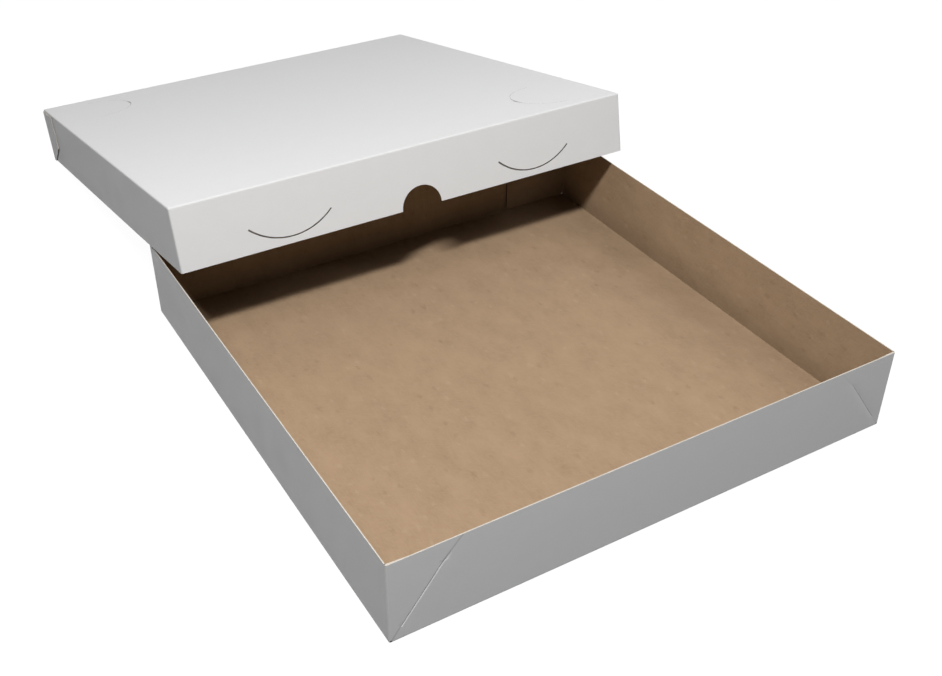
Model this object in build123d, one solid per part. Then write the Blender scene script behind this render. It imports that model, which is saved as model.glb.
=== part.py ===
"""A shallow two-piece pastry box of folded board: an open tray, and its lid leaning on the tray's back wall.

Each half is cut from one flat sheet, creased, folded up and glued at its corners.
Millimetres. The origin is the middle of the tray's underside: +X right, +Y back, +Z up.
"""
from build123d import *
from math import atan2, degrees
import os

# Board
board = 0.6
fold_radius = 1.2
slit_width = 0.6
crease_width = 0.9
crease_depth = 0.2
overrun = 5.0

# Tray
tray_width = 299.8
tray_depth = 303.7
tray_height = 48.4

# The side walls' glue tabs, inside the tray's front and back walls
tray_tab_length = 49.0
tray_tab_taper = 3.0
tray_tab_lift = 1.5
tray_tab_chamfer = 8.0

# The diagonal line at each end of the tray's front and back walls, as (along, up) from the lower corner
# in shares of the wall's height. It is creased to the first point, cut to the second, creased to the rim.
score_cut_start_shares = (0.122, 0.165)
score_cut_end_shares = (0.572, 0.770)
score_head_shares = (0.798, 1.020)
corner_hole_radius = 0.5

# Lid
lid_side_grip = 0.2
lid_end_clearance = 1.3
lid_height = 38.3
lid_setback = 239.0
lid_seat_gap = 0.05

# The side walls' glue tabs, inside the lid's front wall
lid_tab_length = 36.0
lid_tab_taper = 2.0
lid_tab_lift = 1.5
lid_tab_chamfer = 6.0

# The back wall's glue flaps, on the outside of the lid's side walls: full length from just below the
# lid's top fold down to the full height, then cut back to the foot
lid_flap_length = 26.0
lid_flap_full_height = 25.0
lid_flap_foot_length = 5.0
lid_flap_drop = 0.4

# The thumb notch in the lid's front wall
notch_radius = 13.4
notch_offset = 1.5

# The two curved slits in the lid's front wall: how far apart each one's ends are, how far it is from the
# middle of the wall, and how far down from the lid's top its ends and its lowest point are, in shares
front_slit_span = 51.0
front_slit_offset = 82.7
front_slit_ends_share = 0.624
front_slit_lowest_share = 0.890

# The two half-round slits in the lid's top panel
top_slit_radius = 24.7
top_slit_from_side = 30.6
top_slit_from_end = 36.6

# Sizes that follow from these
inner_fold_radius = fold_radius - board
lid_width = tray_width + 2 * board - 2 * lid_side_grip
lid_depth = tray_depth + 2 * board + 2 * lid_end_clearance
lean = degrees(atan2(tray_height + lid_seat_gap, lid_setback))


def rounded_block(width, depth, height, radius):
    """A block standing on z = 0, with every edge rounded but those of its open upper side."""
    block = Box(width, depth, height, align=(Align.CENTER, Align.CENTER, Align.MIN))
    open_edges = block.edges().group_by(Axis.Z)[-1]
    return fillet(block.edges() - open_edges, radius)


def cavity(width, depth, height):
    """What lies inside the four walls and the base of a half whose outside is this big."""
    inside = rounded_block(width - 2 * board, depth - 2 * board, height + overrun, inner_fold_radius)
    return Pos(0, 0, board) * inside


def front_plane(depth):
    """The outer face of the front wall: x along it to the right, y up, and its normal out to the front."""
    return Plane(origin=(0, -depth / 2, 0), x_dir=(1, 0, 0), z_dir=(0, -1, 0))


def left_plane(width, depth):
    """The outer face of the left wall: x along it from its back end to the front, y up."""
    return Plane(origin=(-width / 2, depth / 2, 0), x_dir=(0, -1, 0), z_dir=(-1, 0, 0))


def both_ends(solid):
    """A feature at the left end with its mirror image at the right end."""
    return [solid, mirror(solid, about=Plane.YZ)]


def front_and_back(solid):
    """A feature of the front wall with its mirror image in the back wall."""
    return [solid, mirror(solid, about=Plane.XZ)]


def glue_tab(width, depth, height, length, lift, chamfer_size, taper):
    """The left wall's glue tab, folded round the corner and flat on the inside of the front wall.

    Its lower corner is cut off, and its upper edge falls away from the rim towards its end.
    """
    outline = Polyline(
        (0, lift),
        (length - chamfer_size, lift),
        (length, lift + chamfer_size),
        (length, height - taper),
        (0, height),
        close=True,
    )
    inner_corner = front_plane(depth).offset(-board) * Pos(board - width / 2, 0)
    return extrude(inner_corner * make_face(outline), amount=-board)


def score_point(shares):
    """A point of the diagonal line on the tray's front wall, at its left end."""
    along, up = shares
    return (along * tray_height - tray_width / 2, up * tray_height)


def score_line():
    """The diagonal line: a pinhole at the corner, a crease, a cut through the wall, a crease to the rim."""
    wall = front_plane(tray_depth)
    foot = (fold_radius - tray_width / 2, fold_radius)
    cut_start = score_point(score_cut_start_shares)
    cut_end = score_point(score_cut_end_shares)
    head = score_point(score_head_shares)
    pinhole = extrude(wall * Pos(*foot) * Circle(corner_hole_radius), amount=-board)
    lower_crease = extrude(wall * trace(Line(foot, cut_start), crease_width), amount=-crease_depth)
    cut = extrude(wall * trace(Line(cut_start, cut_end), slit_width), amount=-board)
    upper_crease = extrude(wall * trace(Line(cut_end, head), crease_width), amount=-crease_depth)
    return [pinhole, lower_crease, cut, upper_crease]


def tray():
    """The lower half of the box."""
    body = rounded_block(tray_width, tray_depth, tray_height, fold_radius)
    body -= cavity(tray_width, tray_depth, tray_height)
    left_tab = glue_tab(
        tray_width, tray_depth, tray_height,
        tray_tab_length, tray_tab_lift, tray_tab_chamfer, tray_tab_taper,
    )
    for front_tab in both_ends(left_tab):
        for tab in front_and_back(front_tab):
            body += tab
    for left_cut in score_line():
        for front_cut in both_ends(left_cut):
            for cut in front_and_back(front_cut):
                body -= cut
    return body


def back_flap():
    """The back wall's glue flap, wrapped round the corner onto the outside of the lid's left wall.

    Drawn with the lid upside down: the flap is full length next to the top fold, and is cut back to
    a short foot at the free edge.
    """
    outline = Polyline(
        (0, fold_radius + lid_flap_drop),
        (lid_flap_length, fold_radius + lid_flap_drop),
        (lid_flap_length, lid_flap_full_height),
        (lid_flap_foot_length, lid_height),
        (0, lid_height),
        close=True,
    )
    wall = left_plane(lid_width, lid_depth)
    flap = extrude(wall * make_face(outline), amount=board)
    flap += extrude(wall * make_face(outline), amount=-fold_radius)
    corner = flap.edges().filter_by(Axis.Z).group_by(Axis.Y)[-1].sort_by(Axis.X)[0]
    return fillet(corner, fold_radius)


def front_slit():
    """The curved slit at the left of the lid's front wall, drawn with the lid upside down."""
    ends = front_slit_ends_share * lid_height
    lowest = front_slit_lowest_share * lid_height
    left = (-front_slit_offset - front_slit_span / 2, ends)
    right = (-front_slit_offset + front_slit_span / 2, ends)
    arc = ThreePointArc(left, (-front_slit_offset, lowest), right)
    return extrude(front_plane(lid_depth) * trace(arc, slit_width), amount=-board)


def top_slit():
    """The slit at the back left of the lid's top panel, opening towards the side wall."""
    centre = (top_slit_from_side - lid_width / 2, lid_depth / 2 - top_slit_from_end)
    arc = CenterArc(centre, top_slit_radius, -90, 180)
    return extrude(trace(arc, slit_width), amount=board)


def thumb_notch():
    """The half-round notch in the free edge of the lid's front wall."""
    place = front_plane(lid_depth) * Pos(notch_offset, lid_height)
    return extrude(place * Circle(notch_radius), amount=-board)


def upturned_lid():
    """The upper half of the box, upside down: its top panel on z = 0 and its walls up."""
    body = rounded_block(lid_width, lid_depth, lid_height, fold_radius)
    for flap in both_ends(back_flap()):
        body += flap
    body -= cavity(lid_width, lid_depth, lid_height)
    left_tab = glue_tab(
        lid_width, lid_depth, lid_height,
        lid_tab_length, lid_tab_lift, lid_tab_chamfer, lid_tab_taper,
    )
    for tab in both_ends(left_tab):
        body += tab
    for slit in both_ends(front_slit()):
        body -= slit
    body -= top_slit()
    body -= Rot(0, 0, 180) * top_slit()
    return body - thumb_notch()


def lid():
    """The lid, its back lower edge on the table and its side walls on the tray's back rim."""
    level = Pos(0, -lid_depth / 2, lid_height) * mirror(upturned_lid(), about=Plane.XY)
    return Pos(0, tray_depth / 2 + lid_setback, 0) * Rot(-lean, 0, 0) * level


os.makedirs("parts", exist_ok=True)
export_step(tray(), "parts/tray.step")
export_step(lid(), "parts/lid.step")
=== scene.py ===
# %% [markdown]
# # A pastry box of folded board
#
# The real box is two sheets of thin board, white on one face and brown on the other. Each is cut and
# creased flat, then folded up and glued at its corners. The tray stands on the table, and the lid leans on
# the tray's back wall.
#
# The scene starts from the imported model, which holds the sizes and the places. Everything below is measured
# from it or given in metres. A few thin sizes differ from the model's, because they look more like the
# photograph: the folds' radius, the widths of the slits and cuts, and the tray tabs' cut-off corner.

import math

import bmesh
import bpy
import numpy as np
from mathutils import Matrix, Vector
from mathutils.geometry import delaunay_2d_cdt, normal as face_normal


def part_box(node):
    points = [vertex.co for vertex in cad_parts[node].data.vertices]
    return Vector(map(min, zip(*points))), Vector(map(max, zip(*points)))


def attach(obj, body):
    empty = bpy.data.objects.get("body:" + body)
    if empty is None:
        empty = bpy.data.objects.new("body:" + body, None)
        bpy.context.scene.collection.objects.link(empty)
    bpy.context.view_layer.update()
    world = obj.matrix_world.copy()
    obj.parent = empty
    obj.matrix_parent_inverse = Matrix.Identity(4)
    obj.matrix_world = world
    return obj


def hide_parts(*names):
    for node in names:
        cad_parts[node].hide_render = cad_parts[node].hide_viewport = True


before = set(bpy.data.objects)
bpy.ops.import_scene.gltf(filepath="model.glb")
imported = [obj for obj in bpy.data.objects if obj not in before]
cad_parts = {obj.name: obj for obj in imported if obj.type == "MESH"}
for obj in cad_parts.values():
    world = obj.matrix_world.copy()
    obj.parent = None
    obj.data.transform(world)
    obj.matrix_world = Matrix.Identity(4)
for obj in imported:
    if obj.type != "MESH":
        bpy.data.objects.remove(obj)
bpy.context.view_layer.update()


def add_object(name, data):
    """A new object in the scene."""
    made = bpy.data.objects.new(name, data)
    bpy.context.scene.collection.objects.link(made)
    return made


# %% [markdown]
# ## Measure the tray and the lid
#
# The tray stands level, so its box gives its width, depth and height. The lid leans, and the box of a
# leaning thing says little. Its largest face that looks up lies in the top panel, so that face's normal
# gives the lean. Turned back by that angle, the lid's points fill a level box. The flaps glued to its side
# walls make that box one board wider on each side, which is taken off.

# %% Measure the two halves
board = 0.0006
fold_radius = 0.0009
looks_up = 0.9


def level_box(node):
    """How far a node leans back about X, and the corners of its box when it is turned level."""
    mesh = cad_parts[node].data
    up = max((f for f in mesh.polygons if f.normal.z > looks_up), key=lambda f: f.area).normal
    lean = math.atan2(up.y, up.z)
    level = Matrix.Rotation(lean, 3, "X")
    points = np.array([level @ v.co for v in mesh.vertices])
    return lean, Vector(points.min(0)), Vector(points.max(0))


tray_low, tray_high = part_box("tray")
tray_size = tray_high - tray_low
tray_place = Matrix.Translation(((tray_low.x + tray_high.x) / 2, (tray_low.y + tray_high.y) / 2, tray_low.z))

lean, lid_low, lid_high = level_box("lid")
lid_size = lid_high - lid_low - Vector((2 * board, 0, 0))
lid_place = Matrix.Rotation(-lean, 4, "X") @ Matrix.Translation(
    ((lid_low.x + lid_high.x) / 2, (lid_low.y + lid_high.y) / 2, lid_low.z)
)
print("tray", [round(1000 * x, 1) for x in tray_size], "mm")
print("lid", [round(1000 * x, 1) for x in lid_size], "mm, leaning", round(math.degrees(lean), 2), "degrees")

# %% [markdown]
# ## Panels
#
# A half of the box has five flat panels: one that closes it, and four walls. They could be an open cube,
# but cutting slits, creases and a notch into it with booleans leaves untidy faces. Here each panel is a
# grid of cells, and a constrained Delaunay triangulation cuts the outlines into it, as a die cuts the sheet.
#
# The lines of the grid lie closer together next to a fold. There the flat panel will be bent round a
# quarter circle, and lines at equal angles on that circle give even steps.

# %% Grid lines
fold_steps = 5
grid_pitch = 0.006
beside_fold = 0.0004


def fold_lines():
    """Distances from a sharp edge that land at equal angles on the rounded fold."""
    turns = [math.radians(45) * k / fold_steps for k in range(fold_steps + 1)]
    return [fold_radius * (1 - math.tan(a)) for a in reversed(turns)] + [fold_radius + beside_fold]


def grid_lines(start, end, fold_at_start=True, fold_at_end=True):
    """Grid lines from start to end, close together at an end that is a fold."""
    near = fold_lines()
    first = [start + d for d in near] if fold_at_start else [start]
    last = [end - d for d in reversed(near)] if fold_at_end else [end]
    count = max(1, round((last[0] - first[-1]) / grid_pitch))
    step = (last[0] - first[-1]) / count
    return first[:-1] + [first[-1] + i * step for i in range(count + 1)] + last[1:]


print(len(grid_lines(-tray_size.x / 2, tray_size.x / 2)), "lines across the tray's floor")

# %% [markdown]
# A panel is cut in its own two directions, `along` and `away`, and then placed. The cutter takes outlines
# to keep, outlines to drop, and lines that only have to be edges, such as the two sides of a crease.

# %% Cut a panel
point_merge = 1e-7
as_bmesh_faces = 4  # delaunay_2d_cdt's number for faces that a mesh can hold, cut by every line


def left_turning(outline):
    """The outline's points in the order that keeps its inside on the left."""
    points = [Vector(p) for p in outline]
    area = sum(a.cross(b) for a, b in zip(points, points[1:] + points[:1]))
    return points if area > 0 else points[::-1]


def cut_panel(along, away, keep=(), drop=(), lines=()):
    """The points and faces of a grid, cut to the kept outlines, with the dropped ones taken out."""
    points = [Vector((a, b)) for a in along for b in away]
    rows = len(away)
    faces = [
        [i * rows + j, (i + 1) * rows + j, (i + 1) * rows + j + 1, i * rows + j + 1]
        for i in range(len(along) - 1)
        for j in range(rows - 1)
    ]
    cells, edges = len(faces), []
    for outline in [*keep, *drop]:
        faces.append(list(range(len(points), len(points) + len(outline))))
        points += left_turning(outline)
    for line in lines:
        edges += [(len(points) + i, len(points) + i + 1) for i in range(len(line) - 1)]
        points += [Vector(p) for p in line]
    kept, dropped = range(cells, cells + len(keep)), range(cells + len(keep), len(faces))
    out_points, _, out_faces, _, _, origins = delaunay_2d_cdt(
        points, edges, faces, as_bmesh_faces, point_merge
    )
    chosen = []
    for face, origin in zip(out_faces, origins):
        in_grid = any(o < cells for o in origin)
        in_keep = not keep or any(o in kept for o in origin)
        if in_grid and in_keep and not any(o in dropped for o in origin):
            chosen.append(face)
    return out_points, chosen


# %% [markdown]
# ## Features of the sheet
#
# An arc slit is a thin band, drawn as two arcs that lie half its width to either side. Such a gap alone
# looks paler than the slits in the photograph, so the white coat beside it is darkened with painted shade,
# the shade of the slit's gap. The painted shade fades out sideways. Its width is given at the start, the
# middle and the end of the arc, with a power that says how fast it changes away from the middle. A power
# above 1 also makes it paler towards the ends. All outlines are plain functions of a centre, a radius and a
# width, so a change of size moves the cut with it.

# %% Slits, holes and the thumb notch
slit_width = 0.0005
top_slit_width = 0.0001
# Painted shade on the coat beside the slits: its width at the start, the middle and the end, and its power.
front_slit_shade = (0.0012, 0.001, 0.0016, 1)
top_slit_shade = (0, 0.0022, 0, 5)
least_slit_shade = 0.0001
slit_shade_margin = 0.00003
past_the_end = 0.0004
arc_step = math.radians(4)
end_slack = 1e-4


def arc_points(centre, radius, start, end, growth=lambda share: 0):
    """Points along an arc, at even steps near the chosen angle. The radius may grow along it."""
    count = max(2, round(abs(end - start) / arc_step))
    points = []
    for i in range(count + 1):
        turn, reach = start + (end - start) * i / count, radius + growth(i / count)
        points.append((centre[0] + reach * math.cos(turn), centre[1] + reach * math.sin(turn)))
    return points


def arc_slit(arc, width):
    """A band of even width along an arc, given as its centre, radius, start and end."""
    return arc_points(*arc, lambda share: width / 2) + arc_points(*arc, lambda share: -width / 2)[::-1]


def slit_shade_reach(share, slit_shade, width):
    """How far from the middle of a slit its painted shade reaches, and how dark it is, part of the way along.
    """
    gape = abs(2 * share - 1)
    tip = slit_shade[0 if share < 0.5 else 2]
    reach = (tip + (slit_shade[1] - tip) * (1 - gape) ** slit_shade[3]) / 2
    return max(reach, width / 2 + least_slit_shade), (1 - gape) ** (slit_shade[3] - 1)


def slit_shade_line(arc, slit_shade, width):
    """The closed line round a slit and just past its ends, where its painted shade has faded out."""
    centre, radius, start, end = arc
    past = past_the_end / radius
    reach = lambda share: slit_shade_reach(share, slit_shade, width)[0]
    sides = [
        arc_points(centre, radius, start - past, end + past, lambda share: side * reach(share))
        for side in (-1, 1)
    ]
    ring = sides[0] + sides[1][::-1]
    return ring + ring[:1]


def slit_shade_at(point, arcs, slit_shade, width):
    """How dark the painted shade from the slits along these arcs is at this point."""
    darkest = 0
    for centre, radius, start, end in arcs:
        offset = Vector(point) - Vector(centre)
        turn = math.atan2(offset.y, offset.x) - start + end_slack
        share = turn % math.tau / (end - start + 2 * end_slack)
        if share < 1:
            reach, dark = slit_shade_reach(share, slit_shade, width)
            reach -= slit_shade_margin
            fade = (reach - abs(offset.length - radius)) / (reach - width / 2)
            darkest = max(darkest, dark * min(1, fade))
    return darkest


def disc(centre, radius):
    """A round hole."""
    return arc_points(centre, radius, 0, math.tau)[:-1]


def band(start, end, width):
    """A band of even width along a straight line."""
    start, end = Vector(start), Vector(end)
    aside = (end - start).orthogonal().normalized() * width / 2
    return [start + aside, end + aside, end - aside, start - aside]


# %% [markdown]
# The tray's front and back walls have a diagonal line at each end, most likely so that the glued tray can
# fold flat. It starts at a pinhole in the corner, is creased for a short way, cut right through for most of
# its length, and creased again up to the rim. The photograph shows its two ends differently, so they are
# made so. At the left end the middle panel's lip is curled in beside the cut, where it catches the light,
# and the creases are grey with painted shade. At the right end the lip lies flush, and the line only shows
# as a shallow dent. Painted shade also darkens the coat round the pinhole.
# Support lines a tenth of a millimetre off keep the shading of such a step from spreading over the panel.

# %% The diagonal line
score_cut_start_shares = (0.122, 0.165)
score_cut_end_shares = (0.572, 0.770)
score_head_shares = (0.798, 1.020)
corner_hole_radius = 0.0005
# How far the painted shade round the pinhole reaches.
hole_shade_reach = 0.00035
score_cut_width = 0.00012
crease_half = 0.0008
lip_width = 0.001
lip_depths = {-1: 0.0007, 1: 0.00004}
lip_end_shares = (0, 0.03, 0.97, 1)
dent_width = 0.005
dent_depths = {-1: 0.00002, 1: 0.00015}
# How dark the painted shade along the creases is, at each end.
crease_shade_tones = {-1: 0.3, 1: 0.05}
support = 0.0001


def score_points(size):
    """The diagonal's foot, the two ends of its cut and its head, from the wall's lower corner."""
    shares = (score_cut_start_shares, score_cut_end_shares, score_head_shares)
    return [Vector((fold_radius, fold_radius))] + [Vector((a * size.z, b * size.z)) for a, b in shares]


def nearest(point, start, end):
    """How far a point is from a straight stretch, on which side, and where along it, from 0 to 1."""
    run = end - start
    share = min(1, max(0, (point - start).dot(run) / run.length_squared))
    aside = point - start.lerp(end, share)
    return aside.length, math.copysign(1, run.cross(aside)), share


def score_press(point, size, end):
    """How deep a wall is pressed in at this point of it, measured from its left (-1) or right (1) corner."""
    _, cut_start, cut_end, _ = score_points(size)
    gap, side, share = nearest(point, cut_start, cut_end)
    gap -= score_cut_width / 2
    press = dent_depths[end] * smooth(1 - 2 * gap / dent_width)
    if side < 0 and 0 < share < 1 and gap < lip_width:
        press += lip_depths[end] * min(1, 1 - gap / lip_width)
    return press * smooth((min(point) - fold_radius) / crease_half)


def score_line_shade(point, size, end):
    """How dark the painted shade is at this point: along the two creases of the line, and round its pinhole.
    """
    foot, cut_start, cut_end, head = score_points(size)
    gap = min(nearest(point, *stretch)[0] for stretch in ((foot, cut_start), (cut_end, head)))
    round_hole = 1 - ((point - foot).length - corner_hole_radius) / hole_shade_reach
    return max(0, crease_shade_tones[end] * (1 - gap / crease_half), min(1, round_hole))


print("score line from the corner, mm:", [[round(1000 * c, 1) for c in p] for p in score_points(tray_size)])

# %% [markdown]
# ## From a cut sheet to a sharp box
#
# The five panels are stood up as a sharp-edged box with no thickness. Each wall knows its normal, which
# looks out, and `away`, the way from the closing panel to its free edge: up on the tray, down on the lid.
# The `blank` UV map holds each point's place on the unfolded sheet, in metres, so that paper grain runs on
# over a fold. Five marks are kept for later steps:
#
# - `press` is how far the board lies in from its flat place, beside a cut or at a strip's free end. It is
#   negative where the board stands out.
# - `slack` is how free the board is to bow: not at all at a fold or near a corner, and most in the middle
#   of the closing panel and of a wall's free edge. It is negative on the closing panel: the tray's floor
#   lifts off the table instead of sinking in, and the lid's top sags.
# - `shade` is painted shade on a cut edge, up to 1, in a narrow slit, in a pinhole and at a strip's free end.
# - `climb` says how far a wall is clear of its fold: -0.35 at the fold, 0.65 from 25 mm up. The brown face
#   paints shade with it.
# - `line_shade` is painted shade on the coat along a crease or a slit and round a pinhole.

# %% A shell of flat panels
marks = ("press", "slack", "shade", "climb", "line_shade")
climb_reach = 0.025
climb_at_fold = -0.35
stiff_end = 0.05
stiff_reach = 0.05
wall_slack = 0.6


def smooth(share):
    """An even step from 0 to 1."""
    share = min(1, max(0, share))
    return share * share * (3 - 2 * share)


def free_middle(distance, reach):
    """How free a panel is at a distance from its middle: not at all as far in from its end as a tab goes."""
    return smooth((reach - abs(distance) - stiff_end) / stiff_reach)


class Shell:
    """A mesh of panels in the making, with its blank UVs and its marks."""

    def __init__(self, size, closed_at, away):
        self.size, self.closed_at, self.away = size, closed_at, away
        self.points, self.faces, self.blank = [], [], []
        self.marks = {mark: [] for mark in marks}

    def add(self, cut, place, blank, normal, **given):
        """Stands a cut panel up in space, its faces looking along the normal. Marks not given are 0."""
        flat_points, flat_faces = cut
        first = len(self.points)
        for p in flat_points:
            self.points.append(place(p))
            for mark, values in self.marks.items():
                values.append(given[mark](p) if mark in given else 0)
        for face in flat_faces:
            looks = face_normal([self.points[first + i] for i in face])
            ring = face if looks.dot(normal) > 0 else face[::-1]
            self.faces.append([first + i for i in ring])
            self.blank.append([blank(flat_points[i]) for i in ring])

    def floor(self, given=None, **cuts):
        """The panel that closes the half, with its own place on the blank at the middle."""
        x, y = self.size.x / 2, self.size.y / 2
        self.add(
            cut_panel(grid_lines(-x, x), grid_lines(-y, y), **cuts),
            lambda p: Vector((p.x, p.y, self.closed_at)),
            lambda p: (p.x, p.y),
            Vector((0, 0, -self.away)),
            slack=lambda p: -free_middle(p.x, x) * free_middle(p.y, y),
            **(given or {}),
        )

    def wall(self, normal, given=None, **cuts):
        """One wall, drawn as (along, away): along is the wall's X or Y in the half's own frame."""
        normal = Vector(normal)
        along = Vector((abs(normal.y), abs(normal.x), 0))
        out, reach = abs(normal.dot(self.size)) / 2, along.dot(self.size) / 2
        self.add(
            cut_panel(grid_lines(-reach, reach), grid_lines(0, self.size.z, fold_at_end=False), **cuts),
            lambda p: normal * out + along * p.x + Vector((0, 0, self.closed_at + self.away * p.y)),
            lambda p: tuple((normal * (out + p.y) + along * p.x).xy),
            normal,
            slack=lambda p: wall_slack * smooth(p.y / self.size.z) * free_middle(p.x, reach),
            climb=lambda p: smooth(p.y / climb_reach) + climb_at_fold,
            **(given or {}),
        )

    def mesh(self, name):
        """The panels as one mesh, welded where their sharp edges meet."""
        mesh = bpy.data.meshes.new(name)
        mesh.from_pydata(self.points, [], self.faces)
        uv = mesh.uv_layers.new(name="blank")
        uv.data.foreach_set("uv", [c for face in self.blank for corner in face for c in corner])
        for mark, values in self.marks.items():
            mesh.attributes.new(mark, "FLOAT", "POINT").data.foreach_set("value", values)
        welded = bmesh.new()
        welded.from_mesh(mesh)
        bmesh.ops.remove_doubles(welded, verts=welded.verts, dist=2 * point_merge)
        welded.to_mesh(mesh)
        welded.free()
        return mesh


# %% [markdown]
# The tray: a plain floor and side walls, and front and back walls with the diagonal line at both ends. The
# line is drawn once for a wall's left lower corner and mirrored.

# %% The tray's flat panels
front, back, left, right = (0, -1, 0), (0, 1, 0), (-1, 0, 0), (1, 0, 0)


def from_corner(size, point, end):
    """A point given from a wall's lower corner, at its left (-1) or right (1) end."""
    return (end * (size.x / 2 - point[0]), point[1])


def parallel(start, end, aside):
    """The line beside another one, on its right-hand side."""
    run = (end - start).normalized()
    shift = Vector((run.y, -run.x)) * aside
    return [start + shift, end + shift]


def across(start, end, share, reach):
    """A short line that leaves another one at a right angle, to its right, part of the way along."""
    foot = start.lerp(end, share)
    return [foot, foot + parallel(start, end, reach)[0] - start]


def score_cuts(size):
    """Holes and creases of the diagonal lines, at both ends of a tray wall."""
    foot, cut_start, cut_end, head = score_points(size)
    drop, lines = [], []
    for end in (-1, 1):
        turn = lambda points: [from_corner(size, p, end) for p in points]
        drop.append(turn(disc(foot, corner_hole_radius)))
        lines.append(turn(arc_points(foot, corner_hole_radius + hole_shade_reach, 0, math.tau)))
        drop.append(turn(band(cut_start, cut_end, score_cut_width)))
        lip_end = score_cut_width / 2 + lip_width
        beside_crease = [crease_half * share for share in (-1, -0.5, 0, 0.5, 1)]
        beside_cut = (-dent_width / 2, lip_end, lip_end + support, dent_width / 2)
        for start, stop, asides in (
            (foot, cut_start, beside_crease),
            (cut_end, head, beside_crease),
            (cut_start, cut_end, beside_cut),
        ):
            lines += [turn(parallel(start, stop, aside)) for aside in asides]
        lines += [turn(across(cut_start, cut_end, share, lip_end + support)) for share in lip_end_shares]
    return {"drop": drop, "lines": lines}


def tray_shell():
    """The tray's skin, sharp and flat."""
    shell = Shell(tray_size, closed_at=0, away=1)
    shell.floor()
    shell.wall(left)
    shell.wall(right)

    def from_its_corner(p):
        return Vector((tray_size.x / 2 - abs(p.x), p.y)), tray_size, -1 if p.x < 0 else 1

    def by_its_hole(p):
        return (from_its_corner(p)[0] - score_points(tray_size)[0]).length < 2 * corner_hole_radius

    # Painted shade along the diagonal's creases and round its pinhole, on the coat and on the hole's cut
    # edge.
    scored = {
        "press": lambda p: score_press(*from_its_corner(p)),
        "line_shade": lambda p: score_line_shade(*from_its_corner(p)),
        "shade": lambda p: float(by_its_hole(p)),
    }
    for normal in (front, back):
        shell.wall(normal, scored, **score_cuts(tray_size))
    return shell.mesh("tray_skin")


tray_skin = tray_shell()
print("tray skin:", len(tray_skin.vertices), "points,", len(tray_skin.polygons), "faces")

# %% [markdown]
# The lid: two curved slits and a thumb notch in the front wall, and two half-round slits in the top, one
# by the back left corner and one by the front right corner. Both open towards the side wall beside them.

# %% The lid's flat panels
front_slit_span = 0.051
front_slit_offset = 0.0827
front_slit_ends_share = 0.624
front_slit_lowest_share = 0.890
notch_radius = 0.0134
notch_offset = 0.0015
top_slit_radius = 0.0247
top_slit_from_side = 0.0306
top_slit_from_end = 0.0366


def front_slit(side):
    """The arc of one curved slit of the lid's front wall, which hangs between its two ends like a smile."""
    ends = front_slit_ends_share * lid_size.z
    sag = front_slit_lowest_share * lid_size.z - ends
    radius = (front_slit_span**2 / 4 + sag**2) / (2 * sag)
    centre = (side * front_slit_offset, ends + sag - radius)
    half = math.asin(front_slit_span / 2 / radius)
    return centre, radius, math.radians(90) - half, math.radians(90) + half


def top_slit(side):
    """The arc of a half-round slit of the top, by the back left corner (-1) or the front right one (1)."""
    centre = (side * (lid_size.x / 2 - top_slit_from_side), -side * (lid_size.y / 2 - top_slit_from_end))
    start = math.radians(90) * side
    return centre, top_slit_radius, start, start + math.pi


def slit_cuts(arcs, slit_shade, width):
    """The marks of a panel with these arc slits, and what they cut and draw."""
    # Painted shade on the slits' cut edges and on the coat beside them.
    given = {
        "shade": lambda p: float(any(abs((p - Vector(a[0])).length - a[1]) < width for a in arcs)),
        "line_shade": lambda p: slit_shade_at(p, arcs, slit_shade, width),
    }
    return given, [arc_slit(arc, width) for arc in arcs], [slit_shade_line(arc, slit_shade, width) for arc in arcs]


def lid_shell():
    """The lid's skin, sharp and flat."""
    shell = Shell(lid_size, closed_at=lid_size.z, away=-1)
    given, slits, lines = slit_cuts([top_slit(-1), top_slit(1)], top_slit_shade, top_slit_width)
    shell.floor(given, drop=slits, lines=lines)
    for normal in (left, right, back):
        shell.wall(normal)
    notch = disc((notch_offset, lid_size.z), notch_radius)
    given, slits, lines = slit_cuts([front_slit(-1), front_slit(1)], front_slit_shade, slit_width)
    shell.wall(front, given, drop=[*slits, notch], lines=lines)
    return shell.mesh("lid_skin")


lid_skin = lid_shell()
print("lid skin:", len(lid_skin.vertices), "points,", len(lid_skin.polygons), "faces")

# %% [markdown]
# ## Glue tabs and flaps
#
# Each side wall ends in a glue tab that folds round the corner and lies flat on the inside of the front
# or back wall. At the lid's back, the back wall's flaps fold round onto the outside of the side walls
# instead. Both are a strip that starts at a corner, so one function makes them. It is drawn `along` the wall
# that it is glued to and away from that wall's closed edge, and a short root on the other side of the
# corner takes the second half of the fold. The glue keeps the strip a hair off the wall, and its free end
# stands off a little more, which draws a fine shadow line. The cut edge at its free end gets painted shade.

# %% A glued strip
glue_gap = 0.00005
end_stand_off = 0.0007
flap_stand_off = 0.00008
flap_end_shade = 0.12
stand_off_reach = 0.016
strip_rows = 8


def add_strip(shell, outline, corner, along, root, blank, stand_off, end_shade=0):
    """Adds a strip that is folded round a corner, drawn from it as (along, away)."""
    corner, along, root = Vector((*corner, shell.closed_at)), Vector(along), Vector(root)
    length = max(p[0] for p in outline)
    low, high = min(p[1] for p in outline), max(p[1] for p in outline)
    rows = [low + (high - low) * i / strip_rows for i in range(strip_rows + 1)]
    down = Vector((0, 0, shell.away))
    bend = [-d for d in fold_lines()[-2::-1]]
    shell.add(
        cut_panel(bend, rows),
        lambda p: corner - root * p.x + down * p.y,
        blank,
        -along,
    )
    shell.add(
        cut_panel(grid_lines(0, length, fold_at_end=False), rows, keep=[outline]),
        lambda p: corner + along * p.x + down * p.y,
        blank,
        -root,
        press=lambda p: stand_off * smooth(1 - (length - p.x) / stand_off_reach),
        # Painted shade on the cut edge at the strip's free end.
        shade=lambda p: end_shade if p.x > length - board else 0,
    )


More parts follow.
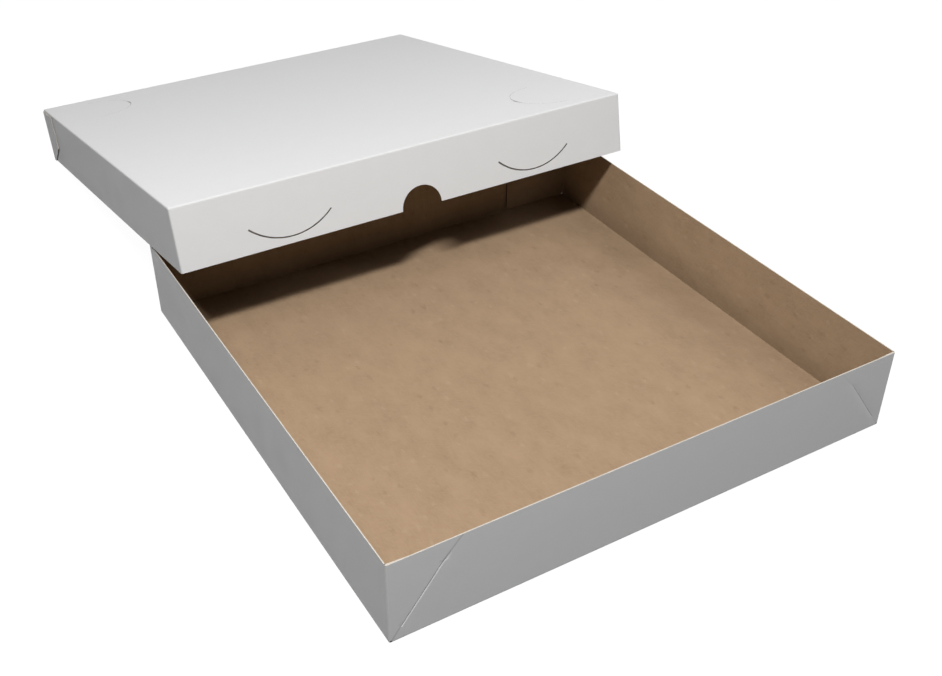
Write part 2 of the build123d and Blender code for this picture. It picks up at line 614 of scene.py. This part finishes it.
def tab_outline(size, length, taper, lift, chamfer):
    """A glue tab: its lower corner is cut off, and its upper edge falls away from the rim."""
    lower = [(0, lift), (length - chamfer, lift), (length, lift + chamfer)]
    return lower + [(length, size.z - taper), (0, size.z)]


def add_tab(shell, outline, x_end, y_end):
    """A side wall's tab, on the inside of the front (-1) or back (1) wall."""
    x, y = shell.size.x / 2, shell.size.y / 2
    add_strip(
        shell,
        outline,
        corner=(x_end * x, y_end * (y - board - glue_gap)),
        along=(-x_end, 0, 0),
        root=(0, -y_end, 0),
        blank=lambda p: (x_end * (x + p.y), y_end * (y + p.x)),
        stand_off=end_stand_off,
        end_shade=1,
    )


# %% [markdown]
# The tray has four such tabs. The lid has two, inside its front wall, and two outside flaps at its back.
# The photograph shows the end of one tray tab and the edge of one flap. The others repeat them, and the
# lid's tabs are a guess.

# %% The tray's tabs, the lid's tabs and flaps
tray_tab = tab_outline(tray_size, length=0.049, taper=0.003, lift=0.0015, chamfer=0.002)
lid_tab = tab_outline(lid_size, length=0.036, taper=0.002, lift=0.0015, chamfer=0.006)
flap_length = 0.026
flap_full_height = 0.025
flap_foot_length = 0.005
flap_drop = 0.0004
flap_outline = [
    (0, fold_radius + flap_drop),
    (flap_length, fold_radius + flap_drop),
    (flap_length, flap_full_height),
    (flap_foot_length, lid_size.z),
    (0, lid_size.z),
]

tray_tabs = Shell(tray_size, closed_at=0, away=1)
lid_tabs = Shell(lid_size, closed_at=lid_size.z, away=-1)
lid_flaps = Shell(lid_size, closed_at=lid_size.z, away=-1)
for x_end in (-1, 1):
    for y_end in (-1, 1):
        add_tab(tray_tabs, tray_tab, x_end, y_end)
    add_tab(lid_tabs, lid_tab, x_end, -1)
    add_strip(
        lid_flaps,
        flap_outline,
        corner=(x_end * (lid_size.x / 2 + board + glue_gap), lid_size.y / 2),
        along=(0, -1, 0),
        root=(-x_end, 0, 0),
        blank=lambda p: (x_end * (lid_size.x / 2 + p.x), lid_size.y / 2 + p.y),
        stand_off=-flap_stand_off,
        end_shade=flap_end_shade,
    )
print("tab faces:", len(tray_tabs.faces), len(lid_tabs.faces), "flap faces:", len(lid_flaps.faces))

# %% [markdown]
# ## Fold and thicken with Geometry Nodes
#
# A folded sheet follows one rule. Shrink the sharp box by the fold radius and call that the core. Every
# point of the sheet then lies one fold radius from the nearest point of the core, and the way from the
# core to it is the sheet's outward normal. A point in mid panel stays where it is, one by an edge moves
# onto a quarter circle, and one by a corner onto an eighth of a ball. So one clamp and one Normalize fold
# the whole half, and the same normal says which way the thickness goes.
#
# The rule is a Geometry Nodes tree with named inputs, because five different shells use it. A bevel would
# also round the edges, but would leave no normal to build the second face on.

# %% Node helpers
def node(tree, kind, settings=None, **inputs):
    """A node with its settings and its named inputs set or linked."""
    made = tree.nodes.new(kind)
    for key, value in (settings or {}).items():
        setattr(made, key, value)
    for key, value in inputs.items():
        plug(tree, made.inputs[int(key[1:]) if key[1:].isdigit() else key.replace("_", " ")], value)
    return made


def plug(tree, target, value):
    """Links an output to an input, or sets the input's own value."""
    if isinstance(value, bpy.types.NodeSocket):
        tree.links.new(value, target)
    elif value is not None:
        target.default_value = value


def math_node(tree, operation, first, second=None, clamp=False):
    """A Math node's result."""
    made = tree.nodes.new("ShaderNodeMath")
    made.operation, made.use_clamp = operation, clamp
    plug(tree, made.inputs[0], first)
    plug(tree, made.inputs[1], second)
    return made.outputs[0]


def times(tree, first, second):
    """Two values multiplied."""
    return math_node(tree, "MULTIPLY", first, second)


def plus(tree, first, second):
    """Two values added."""
    return math_node(tree, "ADD", first, second)


def over(tree, first, second):
    """One value divided by another."""
    return math_node(tree, "DIVIDE", first, second)


def vector_node(tree, operation, first, second=None, scale=None):
    """A Vector Math node's vector result."""
    made = tree.nodes.new("ShaderNodeVectorMath")
    made.operation = operation
    plug(tree, made.inputs[0], first)
    plug(tree, made.inputs[1], second)
    if scale is not None:
        plug(tree, made.inputs["Scale"], scale)
    return made.outputs["Vector"]


def add_input(tree, name, kind, default=None):
    """A named input of a node group."""
    made = tree.interface.new_socket(name, in_out="INPUT", socket_type=f"NodeSocket{kind}")
    if default is not None:
        made.default_value = default


print("node helpers ready")

# %% [markdown]
# The tree folds, bows, presses, thickens and dresses, in this order. Extrude Mesh with no offset copies the
# sheet, and the copy's points are pushed in by the board's thickness along their own normal, which leaves
# the cut edges standing between the two faces. The copy is flipped, to look the other way, and merged with
# the sheet into one closed solid.
#
# Two attributes go along for the materials. `depth` says how deep in the board a point is, from 0 on the
# white face to 1 on the brown one. `bend` says how far round a fold it is: 0 on a flat panel, where the
# normal runs along one axis, and 1 in the middle of a fold.

# %% The folded board tree
full_bend = 1 - math.cos(math.radians(45))


def folded_board_tree():
    """The Geometry Nodes tree that folds flat panels and gives them their thickness."""
    tree = bpy.data.node_groups.new("folded_board", "GeometryNodeTree")
    add_input(tree, "Flat Panels", "Geometry")
    for name in ("Core Low", "Core High"):
        add_input(tree, name, "Vector", (0, 0, 0))
    numbers = {"Fold Radius": fold_radius, "Board": board}
    numbers.update({"Bow Height": 0.0, "Bow Scale": 8.0, "Bow Seed": 0.0})
    for name, default in numbers.items():
        add_input(tree, name, "Float", default)
    for name in ("White Face", "Brown Face", "Cut Edge"):
        add_input(tree, name, "Material")
    tree.interface.new_socket("Folded Board", in_out="OUTPUT", socket_type="NodeSocketGeometry")
    given = tree.nodes.new("NodeGroupInput").outputs

    def geometry_node(kind, settings=None, **inputs):
        """The outputs of a Geometry Nodes node."""
        return node(tree, "GeometryNode" + kind, settings, **inputs).outputs

    def stored(name, kind="FLOAT"):
        """An attribute that the sheet already has."""
        return geometry_node("InputNamedAttribute", {"data_type": kind}, Name=name)["Attribute"]

    def store(geometry, name, value, kind="FLOAT", faces=None):
        """The sheet with one more attribute, on all of it or on some faces."""
        settings = {"data_type": kind, "domain": "POINT"}
        inputs = {"Geometry": geometry, "Name": name, "Value": value, "Selection": faces}
        return geometry_node("StoreNamedAttribute", settings, **inputs)[0]

    place = geometry_node("InputPosition")[0]
    above = vector_node(tree, "MAXIMUM", place, given["Core Low"])
    core = vector_node(tree, "MINIMUM", above, given["Core High"])
    outward = vector_node(tree, "NORMALIZE", vector_node(tree, "SUBTRACT", place, core))
    noise = node(
        tree, "ShaderNodeTexNoise", {"noise_dimensions": "4D"},
        Vector=place, W=given["Bow Seed"], Scale=given["Bow Scale"], Detail=1.0,
    ).outputs[0]
    bow = times(tree, times(tree, noise, given["Bow Height"]), stored("slack"))
    rise = math_node(tree, "SUBTRACT", plus(tree, given["Fold Radius"], bow), stored("press"))
    folded = vector_node(tree, "ADD", core, vector_node(tree, "SCALE", outward, scale=rise))

    sheet = store(given["Flat Panels"], "outward", outward, "FLOAT_VECTOR")
    parts = node(tree, "ShaderNodeSeparateXYZ", Vector=vector_node(tree, "ABSOLUTE", outward)).outputs
    longest = math_node(tree, "MAXIMUM", math_node(tree, "MAXIMUM", parts[0], parts[1]), parts[2])
    turned = math_node(tree, "SUBTRACT", 1.0, longest)
    sheet = store(sheet, "bend", math_node(tree, "DIVIDE", turned, full_bend, clamp=True))
    sheet = geometry_node("SetPosition", Geometry=sheet, Position=folded)[0]

    copy = geometry_node("ExtrudeMesh", Mesh=sheet, Offset_Scale=0.0, Individual=False)
    thickness = times(tree, given["Board"], -1.0)
    inward = vector_node(tree, "SCALE", stored("outward", "FLOAT_VECTOR"), scale=thickness)
    pushed = geometry_node("SetPosition", Geometry=copy["Mesh"], Selection=copy["Top"], Offset=inward)[0]
    deep = store(pushed, "depth", 1.0, faces=copy["Top"])
    second_face = geometry_node("FlipFaces", Mesh=deep)[0]
    join = tree.nodes.new("GeometryNodeJoinGeometry")
    tree.links.new(second_face, join.inputs[0])
    tree.links.new(sheet, join.inputs[0])
    solid = geometry_node("MergeByDistance", Geometry=join.outputs[0], Distance=point_merge)[0]
    dressed = geometry_node("RealizeInstances", Geometry=solid)[0]
    for finish, faces in (("White Face", None), ("Brown Face", copy["Top"]), ("Cut Edge", copy["Side"])):
        dressed = geometry_node("SetMaterial", Geometry=dressed, Selection=faces, Material=given[finish])[0]
    tree.links.new(dressed, tree.nodes.new("NodeGroupOutput").inputs[0])
    return tree


folded_board = folded_board_tree()
print("folded_board has", len(folded_board.nodes), "nodes")

# %% [markdown]
# ## Run the tree and join the shells
#
# A modifier's inputs are set by the sockets' identifiers. The evaluated mesh is copied out as a plain one,
# and the object with the live modifier is deleted. The shells of a half are joined, because the real half
# is one sheet, and moved in the mesh itself, so that the object stays at the origin. Edges sharper than a
# fold's own steps are marked sharp.

# %% Fold a shell
far = 1.0
sharp_turn = math.radians(40)


def fold_shell(mesh, core_low, core_high, bow_height=0.0, bow_seed=0.0):
    """A shell's mesh after the folded board tree has run on it."""
    mesh.materials.append(dress["White Face"])
    flat = add_object("flat_" + mesh.name, mesh)
    modifier = flat.modifiers.new("fold", "NODES")
    modifier.node_group = folded_board
    core = {"Core Low": core_low, "Core High": core_high}
    values = {**core, "Bow Height": bow_height, "Bow Seed": bow_seed, **dress}
    for item in folded_board.interface.items_tree:
        if item.in_out == "INPUT" and item.name in values:
            modifier[item.identifier] = values[item.name]
    bpy.context.view_layer.update()
    depsgraph = bpy.context.evaluated_depsgraph_get()
    folded = bpy.data.meshes.new_from_object(
        flat.evaluated_get(depsgraph), preserve_all_data_layers=True, depsgraph=depsgraph
    )
    bpy.data.objects.remove(flat)
    return folded


def join_half(name, meshes, place):
    """One object from a half's folded shells, moved to its place in the frame."""
    parts = [add_object(name, mesh) for mesh in meshes]
    with bpy.context.temp_override(active_object=parts[0], selected_editable_objects=parts):
        bpy.ops.object.join()
    half = parts[0]
    half.name = half.data.name = name
    half.data.transform(place)
    half.data.set_sharp_from_angle(angle=sharp_turn)
    return half


print("edges that turn by more than", round(math.degrees(sharp_turn)), "degrees are sharp")

# %% [markdown]
# ## What the board is made of
#
# Board isn't flat colour close up: fibres lie mostly one way, the pulp has paler and darker clouds, and
# brown board shows flecks of bark and of pale fibre. The finishes share these effects, so each is a shader
# node group with named inputs, built once. The groups read `blank`, the place on the unfolded sheet in
# metres, so that their sizes are true and the grain runs on round a fold.

# %% A shader group
def new_group(name, result, **numbers):
    """A shader node group with a Place and some numbers given. Its tree, its inputs and its one result."""
    tree = bpy.data.node_groups.new(name, "ShaderNodeTree")
    add_input(tree, "Place", "Vector", (0, 0, 0))
    for socket, default in numbers.items():
        add_input(tree, socket, "Float", default)
    tree.interface.new_socket(result, in_out="OUTPUT", socket_type="NodeSocketFloat")
    return tree, tree.nodes.new("NodeGroupInput").outputs, tree.nodes.new("NodeGroupOutput").inputs[0]


def use_group(tree, group, place, **numbers):
    """The result of a group placed in a material."""
    return node(tree, "ShaderNodeGroup", {"node_tree": group}, Place=place, **numbers).outputs[0]


def noise_node(tree, place, scale=1.0, detail=2.0, roughness=0.5):
    """A Noise Texture's value."""
    return node(
        tree, "ShaderNodeTexNoise", Vector=place, Scale=scale, Detail=detail, Roughness=roughness
    ).outputs[0]


def shaken(tree, place, scale, reach):
    """A place moved to and fro by noise of a given scale and reach."""
    noise = node(tree, "ShaderNodeTexNoise", Vector=place, Scale=scale).outputs["Color"]
    sway = vector_node(tree, "SUBTRACT", noise, (0.5, 0.5, 0.5))
    return vector_node(tree, "ADD", place, vector_node(tree, "SCALE", sway, scale=reach))


def stretch(tree, value, low, high):
    """A value brought from the range low to high onto 0 to 1."""
    return node(tree, "ShaderNodeMapRange", Value=value, From_Min=low, From_Max=high).outputs[0]


print("shader group helpers ready")

# %% [markdown]
# Fibres: three layers of noise, each squeezed thin in one direction, turned a little to either side of the
# way the board ran through the machine. The palest layer wins at each point, because fibres lie on top of
# one another. A slow wobble keeps them from being straight.

# %% Board fibres
def board_fibres_group():
    """Fine fibres, mostly along the sheet's X."""
    tree, given, result = new_group(
        "board_fibres", "Fibre", Length=0.003, Width=0.0004, Spread=0.5, Wobble=0.0008
    )
    bent = shaken(tree, given["Place"], over(tree, 0.5, given["Length"]), given["Wobble"])
    size = node(tree, "ShaderNodeCombineXYZ", X=given["Length"], Y=given["Width"], Z=1.0).outputs[0]
    top = None
    for layer, share in enumerate((-1.0, 0.2, 0.9)):
        angle = times(tree, given["Spread"], share)
        turned = node(tree, "ShaderNodeVectorRotate", {"rotation_type": "Z_AXIS"}, Vector=bent, Angle=angle)
        thin = vector_node(tree, "DIVIDE", turned.outputs[0], size)
        shifted = vector_node(tree, "ADD", thin, (7.3 * layer, 3.1 * layer, 1.7 * layer))
        value = noise_node(tree, shifted)
        top = value if top is None else math_node(tree, "MAXIMUM", top, value)
    plug(tree, result, stretch(tree, top, 0.42, 0.72))
    return tree


board_fibres = board_fibres_group()
print("board_fibres has", len(board_fibres.nodes), "nodes")

# %% [markdown]
# Clouds and flecks: pulp never settles evenly, which shows as soft patches a centimetre across, with finer
# ones in them. Flecks are rare small specks. Voronoi cells give each speck its own place, and a cell's
# random colour decides whether it has one at all, so their number is a plain share.

# %% Pulp clouds and flecks
def pulp_clouds_group():
    """Soft patches of a given size."""
    tree, given, result = new_group("pulp_clouds", "Cloud", Patch=0.012)
    scale = over(tree, 1.0, given["Patch"])
    cloud = noise_node(tree, given["Place"], scale, detail=4.0, roughness=0.62)
    plug(tree, result, stretch(tree, cloud, 0.3, 0.7))
    return tree


def flecks_group():
    """Rare ragged specks: one in some of the cells of a net with a given pitch."""
    tree, given, result = new_group("flecks", "Fleck", Pitch=0.004, Size=0.0006, Share=0.3)
    ragged = over(tree, 1.3, given["Size"])
    torn = shaken(tree, given["Place"], ragged, times(tree, given["Size"], 2.5))
    net = {"Vector": torn, "Scale": over(tree, 1.0, given["Pitch"])}
    cells = node(tree, "ShaderNodeTexVoronoi", {"voronoi_dimensions": "2D"}, **net).outputs
    chance = node(tree, "ShaderNodeSeparateXYZ", Vector=cells["Color"]).outputs
    chosen = math_node(tree, "LESS_THAN", chance[0], given["Share"])
    reach = over(tree, given["Size"], given["Pitch"])
    own_reach = times(tree, reach, plus(tree, 0.4, chance[1]))
    near = math_node(tree, "SUBTRACT", 1.0, over(tree, cells["Distance"], own_reach), clamp=True)
    plug(tree, result, times(tree, near, chosen))
    return tree


pulp_clouds, flecks = pulp_clouds_group(), flecks_group()
print("pulp_clouds and flecks ready")

# %% [markdown]
# Rub: a fold is where the coat is stretched and where hands and the packing bench touch the board. The
# `bend` attribute marks the folds, and noise breaks the mark up, so that a fold is rubbed in places.

# %% Rubbed folds
def fold_rub_group():
    """Where a fold is rubbed, in broken patches."""
    tree, given, result = new_group("fold_rub", "Rub", Bend=0.0, Patch=0.003)
    patches = noise_node(tree, given["Place"], over(tree, 1.0, given["Patch"]), detail=3.0)
    plug(tree, result, times(tree, given["Bend"], stretch(tree, patches, 0.4, 0.7)))
    return tree


fold_rub = fold_rub_group()
print("fold_rub ready")

# %% [markdown]
# ## The three finishes
#
# Each finish is a material of its own on the same mesh, which is how the tree dressed the sheet. A Mix
# node lays one effect over another, and one Bump node with a height in metres turns the same fibres into
# relief.

# %% Material helpers
def new_material(name, roughness, specular):
    """A material with its tree, its shader and the place on the blank."""
    made = bpy.data.materials.new(name)
    made.use_nodes = True
    tree = made.node_tree
    shader = tree.nodes["Principled BSDF"]
    shader.inputs["Roughness"].default_value = roughness
    shader.inputs["Specular IOR Level"].default_value = specular
    place = node(tree, "ShaderNodeUVMap", {"uv_map": "blank"}).outputs[0]
    return made, tree, shader, place


def attribute(tree, name):
    """A stored attribute's value."""
    return node(tree, "ShaderNodeAttribute", {"attribute_name": name}).outputs["Fac"]


def mix_colour(tree, share, first, second):
    """Two colours mixed by a share."""
    made = tree.nodes.new("ShaderNodeMix")
    made.data_type = "RGBA"
    colours = [s for s in made.inputs if s.type == "RGBA"]
    plug(tree, made.inputs["Factor"], share)
    for socket, colour in zip(colours, (first, second)):
        plug(tree, socket, (*colour, 1) if isinstance(colour, tuple) else colour)
    return next(s for s in made.outputs if s.type == "RGBA")


def layered(tree, colour, *layers):
    """A colour with others laid over it in turn, each by an effect, its share and its colour."""
    for effect, share, over_it in layers:
        colour = mix_colour(tree, times(tree, effect, share), colour, over_it)
    return colour


def relief(tree, shader, height):
    """Bump from a height in metres."""
    bump = node(tree, "ShaderNodeBump", Strength=1.0, Distance=1.0, Height=height)
    tree.links.new(bump.outputs[0], shader.inputs["Normal"])


print("material helpers ready")

# %% [markdown]
# White face: satin, not glossy, as clay-coated board is. Its colour hardly varies, and what gives it away as
# paper is a faint unevenness of its sheen and a very low relief of the fibres below. At a fold the coat is
# painted a little greyer, painted shade that dims the fold's highlight. Where `line_shade` marks a crease or
# a slit, painted shade makes it dark.

# %% White face
def white_face_material():
    """The clay-coated outside."""
    made, tree, shader, place = new_material("white_face", roughness=0.5, specular=0.15)
    fibre = use_group(tree, board_fibres, place, Length=0.004, Width=0.0006)
    cloud = use_group(tree, pulp_clouds, place, Patch=0.015)
    bend = attribute(tree, "bend")
    rub = use_group(tree, fold_rub, place, Bend=bend)
    coat = mix_colour(tree, cloud, (0.782, 0.782, 0.782), (0.8, 0.8, 0.8))
    coat = layered(
        tree, coat,
        (fibre, 0.25, (0.812, 0.812, 0.811)),
        # Painted shade at a fold, which dims the fold's highlight.
        (bend, 0.4, (0.6, 0.595, 0.59)),
        (rub, 0.3, (0.66, 0.64, 0.61)),
        (attribute(tree, "line_shade"), 0.95, (0.09, 0.088, 0.085)),
    )
    plug(tree, shader.inputs["Base Color"], coat)
    sheen = plus(tree, times(tree, cloud, 0.1), 0.42)
    plug(tree, shader.inputs["Roughness"], plus(tree, sheen, times(tree, rub, 0.25)))
    relief(tree, shader, plus(tree, times(tree, fibre, 0.000012), times(tree, cloud, 0.00003)))
    return made


white_face = white_face_material()
print(white_face.name, "has", len(white_face.node_tree.nodes), "nodes")

# %% [markdown]
# Brown face: bare kraft, quite matt. Two browns are mixed by the clouds, long faint streaks follow the
# machine, pale fibres lie over them, and dark bark flecks and pale specks are sprinkled last. A wall is
# paler towards its free edge and darker by its fold, as in the photograph: that is painted shade. To light
# that has bounced once already the brown is darker and greyer. Real board doesn't do that: it is there
# because otherwise the shadow under the lid and the walls came out browner and lighter than in the
# photograph.

# %% Brown face
def brown_face_material():
    """The uncoated inside."""
    made, tree, shader, place = new_material("brown_face", roughness=0.9, specular=0.3)
    place = vector_node(tree, "MULTIPLY", place, (1.0, 0.62, 1.0))
    fibre = use_group(tree, board_fibres, place, Length=0.0032, Width=0.0008, Spread=1.6)
    streak = use_group(tree, board_fibres, place, Length=0.09, Width=0.004, Spread=0.05)
    cloud = use_group(tree, pulp_clouds, place, Patch=0.014)
    swell = use_group(tree, pulp_clouds, place, Patch=0.05)
    bark = use_group(tree, flecks, place, Pitch=0.009, Size=0.0016, Share=0.25)
    pale = use_group(tree, flecks, place, Pitch=0.007, Size=0.0015, Share=0.2)
    kraft = mix_colour(tree, cloud, (0.3, 0.199, 0.119), (0.412, 0.279, 0.172))
    kraft = layered(
        tree, kraft,
        (swell, 0.45, (0.42, 0.281, 0.17)),
        (streak, 0.12, (0.4, 0.27, 0.17)),
        (fibre, 0.6, (0.425, 0.3, 0.194)),
        (bark, 0.3, (0.2, 0.125, 0.07)),
        (pale, 0.25, (0.54, 0.4, 0.275)),
    )
    # Painted shade: darker by the fold, paler towards the free edge.
    fold_shade_scale = plus(tree, times(tree, attribute(tree, "climb"), 0.3), 0.97)
    kraft = vector_node(tree, "SCALE", kraft, scale=fold_shade_scale)
    bounced = tree.nodes.new("ShaderNodeLightPath").outputs["Is Diffuse Ray"]
    kraft = mix_colour(tree, bounced, kraft, vector_node(tree, "MULTIPLY", kraft, (0.7, 0.78, 0.84)))
    plug(tree, shader.inputs["Base Color"], kraft)
    plug(tree, shader.inputs["Roughness"], plus(tree, times(tree, fibre, 0.1), 0.82))
    relief(tree, shader, plus(tree, times(tree, fibre, 0.00004), times(tree, cloud, 0.00008)))
    return made


brown_face = brown_face_material()
print(brown_face.name, "has", len(brown_face.node_tree.nodes), "nodes")

# %% [markdown]
# Cut edge: the die opens the board's layers to view. From the outside in they are the white coat, a thick
# cream middle of short fibres, and the brown back, and `depth` says which layer a point is in. Fibres
# blur the layers into one another. The edges marked by `shade` are darkened with painted shade.

# %% Cut edge
def cut_edge_material():
    """The layers of the board, seen where it is cut."""
    made, tree, shader, place = new_material("cut_edge", roughness=0.9, specular=0.2)
    fibre = use_group(tree, board_fibres, place, Length=0.0012, Width=0.0003)
    cloud = use_group(tree, pulp_clouds, place, Patch=0.004)
    depth = plus(tree, attribute(tree, "depth"), times(tree, fibre, 0.08))
    middle = mix_colour(tree, cloud, (0.57, 0.52, 0.455), (0.65, 0.605, 0.54))
    core = mix_colour(tree, stretch(tree, depth, 0.08, 0.2), (0.72, 0.69, 0.65), middle)
    layers = mix_colour(tree, stretch(tree, depth, 0.9, 1.02), core, (0.44, 0.31, 0.205))
    # Painted shade where `shade` marks a cut edge.
    layers = mix_colour(tree, attribute(tree, "shade"), layers, (0.035, 0.032, 0.03))
    plug(tree, shader.inputs["Base Color"], layers)
    relief(tree, shader, times(tree, fibre, 0.00003))
    return made


cut_edge = cut_edge_material()
dress = {"White Face": white_face, "Brown Face": brown_face, "Cut Edge": cut_edge}
print("three finishes:", [made.name for made in dress.values()])

# %% [markdown]
# ## Fold the tray
#
# The skin's core is open upwards, so its top is far above. The tabs' core is the same but for two of its
# sides, which lie a board and the glue further in, and it has no bottom fold.

# %% Fold the tray
tray_bow = 0.0003
tray_seed = 1.0
inset = Vector((fold_radius, fold_radius, fold_radius))
half_tray = Vector((tray_size.x / 2, tray_size.y / 2, 0))
endless = Vector((0, 0, far))
tab_inset = inset + Vector((0, board + glue_gap, 0))
tray_parts = [
    fold_shell(tray_skin, inset - half_tray, half_tray - inset + endless, tray_bow, tray_seed),
    fold_shell(
        tray_tabs.mesh("tray_tabs"), tab_inset - half_tray - endless, half_tray - tab_inset + endless
    ),
]
tray = join_half("folded_tray", tray_parts, tray_place)
print("tray", len(tray.data.polygons), "faces,", [m.name for m in tray.data.materials])

# %% [markdown]
# ## Fold the lid
#
# The lid's core is open downwards. Its tabs are folded in at the front only, and its flaps are folded
# round the outside at the back, where the core is wider by a board and the glue.

# %% Fold the lid
lid_bow = 0.0004
lid_seed = 7.0
half_lid = Vector((lid_size.x / 2, lid_size.y / 2, 0))
lid_top = Vector((0, 0, lid_size.z))
backwards = Vector((0, far, 0))
flap_inset = inset - Vector((board + glue_gap, 0, 0))
lid_parts = [
    fold_shell(lid_skin, inset - half_lid - endless, half_lid - inset + lid_top, lid_bow, lid_seed),
    fold_shell(
        lid_tabs.mesh("lid_tabs"), tab_inset - half_lid - endless, half_lid - inset + backwards + endless
    ),
    fold_shell(
        lid_flaps.mesh("lid_flaps"), flap_inset - half_lid - backwards - endless,
        half_lid - flap_inset + endless,
    ),
]
lid = join_half("folded_lid", lid_parts, lid_place)
print("lid", len(lid.data.polygons), "faces,", [m.name for m in lid.data.materials])

# %% [markdown]
# ## Tie the pieces to the model
#
# Nothing on the box is jointed, so both halves ride on the root body. Each replaces the plain node that
# it stands for.

# %% Ride and replace
for piece, name in ((tray, "tray"), (lid, "lid")):
    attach(piece, "root")
    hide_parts(name)
    print(piece.name, "rides on root and replaces", name)

# %% [markdown]
# ## Camera
#
# The place and the three angles were found by laying the model's corners over the photograph. The lens is
# given as its length in pixels of a frame 942 wide, and turned into Blender's millimetres. The camera
# looks along its own -Z with its Y up, so its turn is built from the way it looks and the way its right
# side points.

# %% Camera
frame_width = 942
lens_in_pixels = 1198.92
camera_place = Vector((-0.30132, -0.47256, 0.4153))
camera_yaw = math.radians(30.978)
camera_pitch = math.radians(35.305)
camera_roll = math.radians(-0.304)

looks = Matrix.Rotation(-camera_yaw, 3, "Z") @ Matrix.Rotation(-camera_pitch, 3, "X") @ Vector((0, 1, 0))
level_right = Matrix.Rotation(-camera_yaw, 3, "Z") @ Vector((1, 0, 0))
right_side = Matrix.Rotation(camera_roll, 3, looks) @ level_right
turn = Matrix((right_side, right_side.cross(looks), -looks)).transposed()
camera_data = bpy.data.cameras.new("camera")
camera_data.lens = lens_in_pixels * camera_data.sensor_width / frame_width
camera = add_object("camera", camera_data)
camera.matrix_world = Matrix.Translation(camera_place) @ turn.to_4x4()
bpy.context.scene.camera = camera
print("lens", round(camera_data.lens, 2), "mm, looking along", [round(x, 3) for x in looks])

# %% [markdown]
# ## Floor and background
#
# The photograph's ground is plain white. A floor lit to white would throw its light up on the outer walls,
# which are grey in the photograph, so the white is drawn for the camera, and for what glossy surfaces
# reflect, by Light Path, while light that bounces meets a dark floor. The diffuse part keeps the
# object's shadow, faint as it is. The world does the same: white to look at, and dim as a lamp.

# %% Floor and world
floor_drop = 0.0002
floor_half = 10.0
floor_white = 0.975
floor_grey = 0.06
sky_level = 0.0175


def seen_mask(tree):
    """1 for rays from the camera, and for those that a gloss or clear surface sends on."""
    rays = tree.nodes.new("ShaderNodeLightPath").outputs
    seen = math_node(tree, "MAXIMUM", rays["Is Camera Ray"], rays["Is Glossy Ray"])
    return math_node(tree, "MAXIMUM", seen, rays["Is Transmission Ray"])


def floor_material():
    """White to look at, dark to light, with the shadow kept."""
    made, tree, shader, _ = new_material("floor", roughness=1.0, specular=0.0)
    place = node(tree, "ShaderNodeTexCoord").outputs["Object"]
    cloud = use_group(tree, pulp_clouds, place, Patch=0.3)
    grey = mix_colour(tree, cloud, (floor_grey,) * 3, (floor_grey * 1.1,) * 3)
    plug(tree, shader.inputs["Base Color"], grey)
    shader.inputs["Emission Color"].default_value = (1, 1, 1, 1)
    plug(tree, shader.inputs["Emission Strength"], times(tree, seen_mask(tree), floor_white))
    return made


floor_mesh = bpy.data.meshes.new("floor")
corners = [(x * floor_half, y * floor_half, -floor_drop) for x, y in ((-1, -1), (1, -1), (1, 1), (-1, 1))]
floor_mesh.from_pydata(corners, [], [(0, 1, 2, 3)])
floor_mesh.materials.append(floor_material())
floor = add_object("floor", floor_mesh)

world = bpy.data.worlds.new("world")
world.use_nodes = True
bpy.context.scene.world = world
sky = world.node_tree.nodes["Background"]
sky.inputs["Color"].default_value = (1, 1, 1, 1)
brightness = math_node(world.node_tree, "MAXIMUM", seen_mask(world.node_tree), sky_level)
plug(world.node_tree, sky.inputs["Strength"], brightness)
print("floor", 2 * floor_half, "m square, sky level", sky_level)

# %% [markdown]
# ## Lamps
#
# The lid's shadow on the tray's floor tells where the main light is: in front, to the left and high up,
# and about four times as wide as it is high, because the shadow's edge is sharper one way than the other.
# It hangs fairly close, so the light falls off along the walls as in the photograph. Three broad, weaker
# softboxes, at the front right, on the right and behind, set how bright each side of the box is. All the
# strengths were set by comparing patches of the render with the same patches of the photograph.

# %% Lamps
lamp_aim = Vector((0, 0.1, 0.05))
lamps = {
    # name: (direction, distance, width, height, watts)
    "key": ((-0.322, -0.481, 0.802), 1.22, 0.31, 0.075, 12.75),
    "front_right": ((0.75, -0.43, 1.0), 1.5, 0.85, 0.85, 7.0),
    "right": ((1.0, -0.1, 0.58), 2.0, 1.0, 1.0, 2.0),
    "behind": ((-0.3, 0.84, 1.0), 1.5, 1.2, 1.2, 2.9),
}


def add_lamp(name, direction, distance, width, height, watts):
    """A rectangular softbox that faces the box, with its width at a right angle to the Y axis."""
    data = bpy.data.lights.new(name, "AREA")
    data.shape = "RECTANGLE"
    data.size, data.size_y, data.energy = width, height, watts
    lamp = add_object(name, data)
    back = Vector(direction).normalized()
    wide = Vector((0, 1, 0)).cross(back).normalized()
    turn = Matrix((wide, back.cross(wide), back)).transposed()
    lamp.matrix_world = Matrix.Translation(lamp_aim + back * distance) @ turn.to_4x4()


for name, values in lamps.items():
    add_lamp(name, *values)
bpy.context.scene.view_settings.view_transform = "Standard"
print("lamps:", list(lamps))

# %% Finish
bpy.context.view_layer.update()
